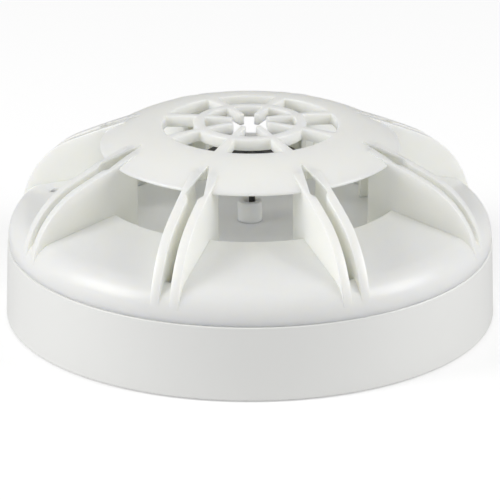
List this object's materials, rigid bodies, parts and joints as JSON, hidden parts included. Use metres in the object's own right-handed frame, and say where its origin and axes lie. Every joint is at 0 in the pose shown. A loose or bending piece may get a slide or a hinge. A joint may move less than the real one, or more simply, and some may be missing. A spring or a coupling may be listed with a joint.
{
  "type": "heat detector",
  "caption": "Round white point heat detector: finned open cage with a slotted grille over a thermistor, on a twist-lock mounting base.",
  "frame": {"origin": "centre of the base's flat back face, which lies on the ceiling or wall", "axes": "+Z along the detector's axis, away from the mounting surface, towards the grille; -Y towards one of the eight windows; the two fixing slots lie along X"},
  "size_m": [0.104, 0.104, 0.0425],
  "materials": {
    "cover_plastic": "fine-textured white moulded ABS, soft sheen",
    "base_plastic": "white moulded ABS, soft sheen",
    "chamber_plastic": "white moulded ABS",
    "case_plastic": "white moulded polycarbonate",
    "contact_steel": "stamped stainless strip",
    "contact_bronze": "stamped phosphor bronze strip",
    "rivet_brass": "turned brass",
    "plated_steel": "bright zinc plate",
    "board_laminate": "green solder mask on glass laminate",
    "chip_black": "moulded black epoxy",
    "capacitor_can": "drawn aluminium can",
    "capacitor_ceramic": "fired ceramic chip",
    "sensor_glass": "glass-coated chip",
    "led_body": "clear-topped chip",
    "light_pipe": "clear moulded rod",
    "tinned_lead": "tinned wire",
    "sleeve_black": "black insulating sleeve",
    "bead_epoxy": "black dipped epoxy",
    "collector_black": "matt black coated aluminium"
  },
  "bodies": {
    "base": {"base_moulding": "base_plastic", "screen_contact": "contact_steel", "clamp_washers": "plated_steel", "terminal_screws": "plated_steel", "base_contact_1": "contact_steel", "base_contact_2": "contact_steel", "base_contact_3": "contact_steel", "base_contact_4": "contact_steel"},
    "head": {"outer_cover": "cover_plastic", "crown_grille": "cover_plastic", "guard_fins": "cover_plastic", "chamber_floor": "chamber_plastic", "rear_case": "case_plastic", "case_screws": "plated_steel", "contact_rivets": "rivet_brass", "circuit_board": "board_laminate", "microcontroller": "chip_black", "bridge_rectifier": "chip_black", "electrolytic_capacitor": "capacitor_can", "chip_capacitors": "capacitor_ceramic", "chip_resistors": "chip_black", "transistors": "chip_black", "reference_thermistor": "sensor_glass", "status_led": "led_body", "light_pipe": "light_pipe", "thermistor_holder": "chamber_plastic", "thermistor_leads": "tinned_lead", "thermistor_sleeve": "sleeve_black", "thermistor_bead": "bead_epoxy", "heat_collector_disc": "collector_black", "head_contact_1": "contact_bronze", "head_contact_2": "contact_bronze", "head_contact_3": "contact_bronze", "head_contact_4": "contact_bronze"}
  },
  "joints": [
    {"name": "head_twist", "type": "hinge", "parent": "base", "child": "head", "pos_m": [0, 0, 0], "axis": [0, 0, 1], "range_deg": [0, 20]}
  ]
}
